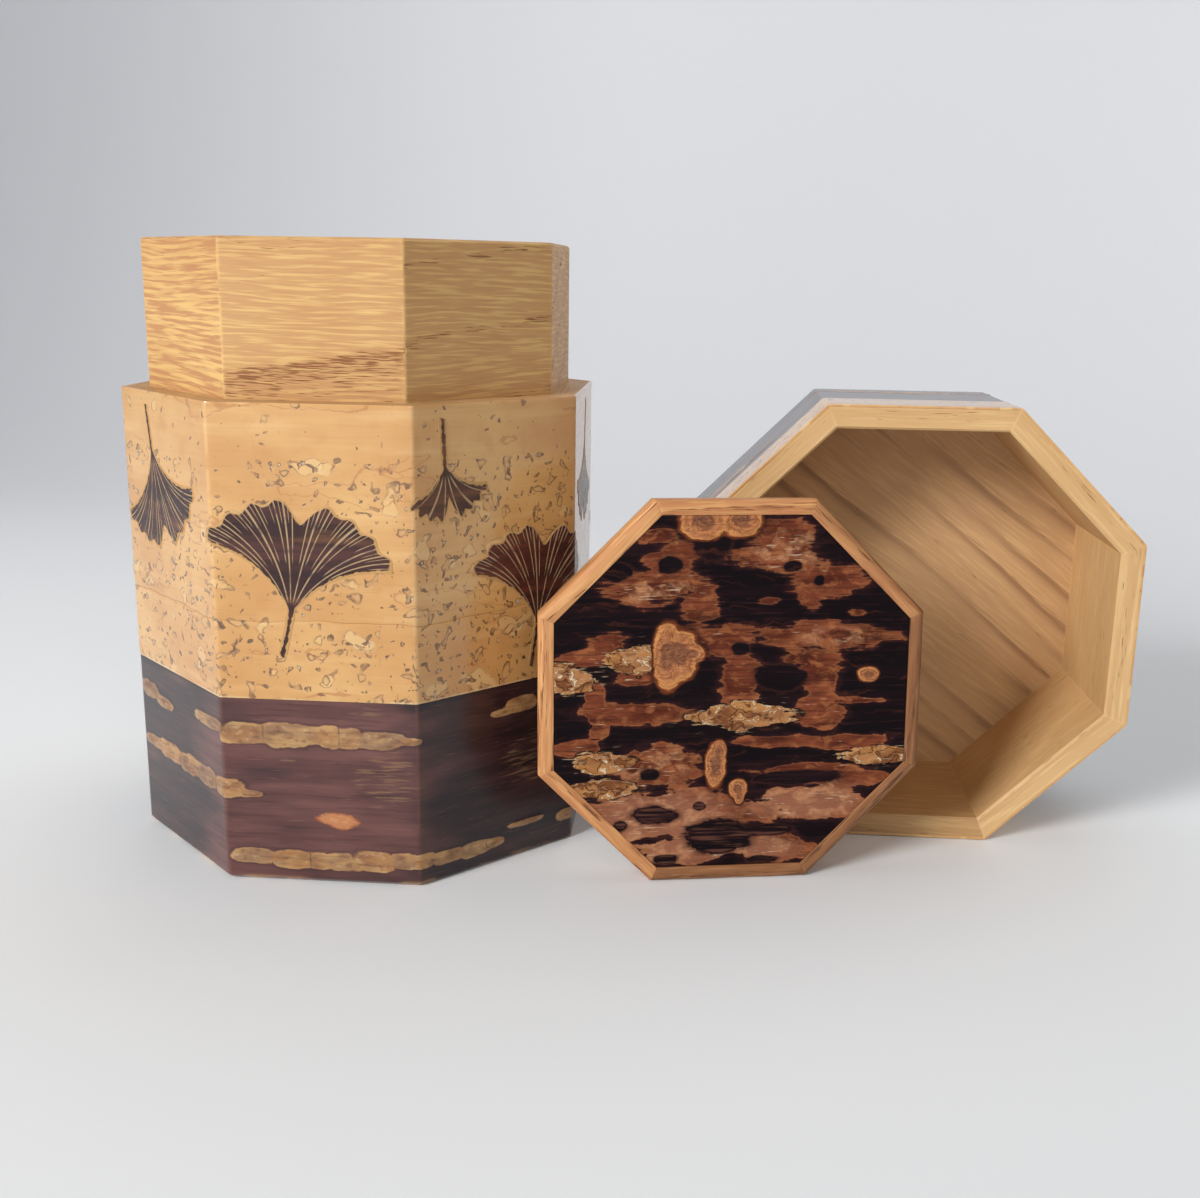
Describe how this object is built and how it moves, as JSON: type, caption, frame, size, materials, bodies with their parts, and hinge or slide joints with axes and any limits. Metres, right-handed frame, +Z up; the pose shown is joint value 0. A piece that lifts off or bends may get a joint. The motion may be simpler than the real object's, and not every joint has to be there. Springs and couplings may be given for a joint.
{
  "type": "tea caddy",
  "caption": "Eight-sided wooden tea caddy faced with cherry bark, standing open with its outer lid and its inner lid set down beside it.",
  "frame": {"origin": "middle of the caddy's foot, on the table", "axes": "+Z up along the caddy's axis, -Y out of its front face, +X towards the outer lid"},
  "size_m": [0.1888, 0.084, 0.1115],
  "materials": {
    "base_wood": "planed, bare",
    "body_wood": "planed, bare",
    "neck_wood": "sanded, thin clear finish",
    "lid_wood": "sanded, thin clear finish",
    "lid_board_wood": "sanded, thin clear finish",
    "plug_wood": "sanded, bare",
    "edging_wood": "sanded, thin clear finish",
    "dark_bark": "polished cherry bark",
    "pale_bark": "scraped cherry bark, satin",
    "leaf_bark": "polished cherry bark with scraped veins",
    "figured_bark": "polished figured cherry bark"
  },
  "bodies": {
    "caddy": {"base_board": "base_wood", "body_stave_1": "body_wood", "body_stave_2": "body_wood", "body_stave_3": "body_wood", "body_stave_4": "body_wood", "body_stave_5": "body_wood", "body_stave_6": "body_wood", "body_stave_7": "body_wood", "body_stave_8": "body_wood", "neck_stave_1": "neck_wood", "neck_stave_2": "neck_wood", "neck_stave_3": "neck_wood", "neck_stave_4": "neck_wood", "neck_stave_5": "neck_wood", "neck_stave_6": "neck_wood", "neck_stave_7": "neck_wood", "neck_stave_8": "neck_wood", "dark_bark_band": "dark_bark", "pale_bark_lower": "pale_bark", "pale_bark_upper": "pale_bark", "leaf_inlay_1": "leaf_bark", "leaf_inlay_2": "leaf_bark", "leaf_inlay_3": "leaf_bark", "leaf_inlay_4": "leaf_bark", "leaf_inlay_5": "leaf_bark", "leaf_inlay_6": "leaf_bark", "leaf_inlay_7": "leaf_bark", "leaf_inlay_8": "leaf_bark", "leaf_inlay_9": "leaf_bark", "leaf_inlay_10": "leaf_bark"},
    "outer_lid": {"lid_stave_1": "lid_wood", "lid_stave_2": "lid_wood", "lid_stave_3": "lid_wood", "lid_stave_4": "lid_wood", "lid_stave_5": "lid_wood", "lid_stave_6": "lid_wood", "lid_stave_7": "lid_wood", "lid_stave_8": "lid_wood", "lid_top_board": "lid_board_wood", "lid_pale_bark": "pale_bark", "lid_dark_bark": "dark_bark", "lid_top_bark": "dark_bark"},
    "inner_lid": {"inner_lid_board": "plug_wood", "inner_lid_edge_1": "edging_wood", "inner_lid_edge_2": "edging_wood", "inner_lid_edge_3": "edging_wood", "inner_lid_edge_4": "edging_wood", "inner_lid_edge_5": "edging_wood", "inner_lid_edge_6": "edging_wood", "inner_lid_edge_7": "edging_wood", "inner_lid_edge_8": "edging_wood", "inner_lid_bark": "figured_bark"}
  },
  "joints": [
    {"name": "outer_lid_lift", "type": "slide", "parent": "caddy", "child": "outer_lid", "axis": [0, 0, 1], "range_m": [0, 0.12]},
    {"name": "inner_lid_lift", "type": "slide", "parent": "caddy", "child": "inner_lid", "axis": [0, 0, 1], "range_m": [0, 0.12]}
  ]
}
